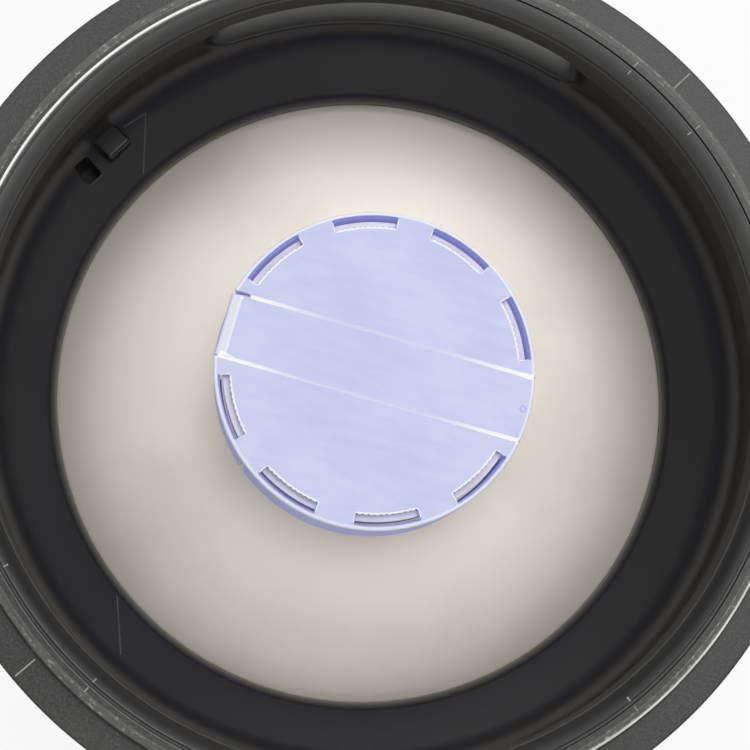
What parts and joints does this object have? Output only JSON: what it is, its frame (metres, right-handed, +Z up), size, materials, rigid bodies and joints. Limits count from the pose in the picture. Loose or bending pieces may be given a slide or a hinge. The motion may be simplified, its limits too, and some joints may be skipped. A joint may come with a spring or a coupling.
{
  "type": "slim beer keg",
  "caption": "Slim steel beer keg in black moulded top and foot rings with hand-holds, a sprung coupler fitting with its down tube, and a tear-off tamper cap.",
  "frame": {"origin": "middle of the foot ring on the floor", "axes": "+Z up along the keg's axis, +Y through the middle of one hand-hold"},
  "size_m": [0.24, 0.24, 0.5704],
  "materials": {
    "steel": "satin",
    "bright_steel": "machined",
    "black_plastic": "worn matte",
    "rubber": "matte",
    "cap_plastic": "satin"
  },
  "bodies": {
    "keg": {"upper_shell": "steel", "lower_shell": "steel", "girth_weld": "bright_steel", "neck_boss": "bright_steel", "neck_weld": "bright_steel", "top_ring": "black_plastic", "foot_ring": "black_plastic", "fitting_body": "bright_steel", "valve_seat": "bright_steel", "neck_seal": "rubber", "safety_ring": "bright_steel", "spring_cage": "bright_steel", "gas_spring": "bright_steel"},
    "gas_valve": {"gas_seal": "rubber", "seal_carrier": "bright_steel", "down_tube": "bright_steel", "ball_spring": "bright_steel", "spring_seat": "bright_steel"},
    "beer_valve": {"beer_ball": "bright_steel"},
    "cap": {"cap_shell": "cap_plastic"},
    "strip": {"tear_strip": "cap_plastic"}
  },
  "joints": [
    {"name": "cap_lift", "type": "slide", "parent": "keg", "child": "cap", "axis": [0, 0, 1], "range_m": [0, 0.15]},
    {"name": "strip_peel", "type": "hinge", "parent": "cap", "child": "strip", "pos_m": [0.04109, -0.00713, 0.56727], "axis": [0.1874, 0.9823, 0], "range_deg": [0, 110]},
    {"name": "gas_valve_travel", "type": "slide", "parent": "keg", "child": "gas_valve", "axis": [0, 0, -1], "range_m": [0, 0.006], "stiffness_N_per_m": 6000, "springref_m": -0.012, "deforming": ["gas_spring"]},
    {"name": "beer_valve_travel", "type": "slide", "parent": "gas_valve", "child": "beer_valve", "axis": [0, 0, -1], "range_m": [0, 0.005], "stiffness_N_per_m": 800, "springref_m": -0.008, "deforming": ["ball_spring"]}
  ]
}
